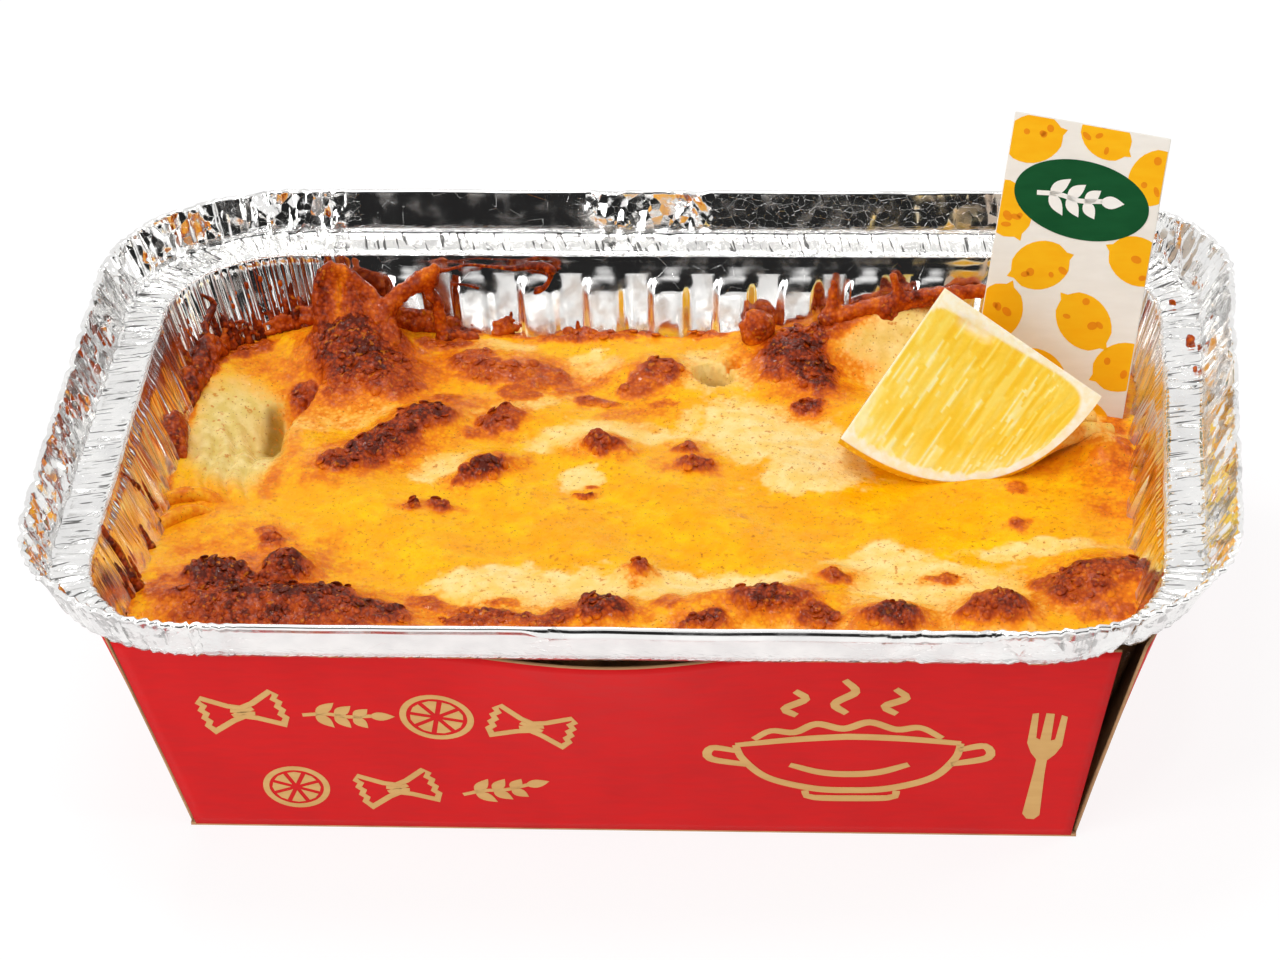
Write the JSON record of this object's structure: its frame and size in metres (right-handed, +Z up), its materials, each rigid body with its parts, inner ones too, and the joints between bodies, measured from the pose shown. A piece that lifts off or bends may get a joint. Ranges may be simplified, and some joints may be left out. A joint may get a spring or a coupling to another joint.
{
  "type": "foil tray meal",
  "caption": "Oblong fluted foil tray of baked cheese gratin with a browned crust, a lemon wedge and a plain label card, held in a red board sleeve.",
  "frame": {"origin": "middle of the flat underside of the board sleeve", "axes": "+X to the right along the long side, front panel faces -Y, +Z up"},
  "size_m": [0.1949, 0.1407, 0.0821],
  "materials": {
    "foil": "bright pressed foil, creased, with baked-on orange stains",
    "sleeve_board": "matte red print outside, bare brown board inside",
    "baked_cheese": "melted yellow cheese, browned in patches, slightly oily",
    "lemon": "wet flesh, dull white pith, waxy dimpled rind",
    "label_board": "satin printed card, yellow shapes and a green oval on white"
  },
  "bodies": {
    "root": {"foil_tray": "foil", "card_sleeve": "sleeve_board", "gratin": "baked_cheese", "lemon_wedge": "lemon", "label_card": "label_board"}
  },
  "joints": []
}
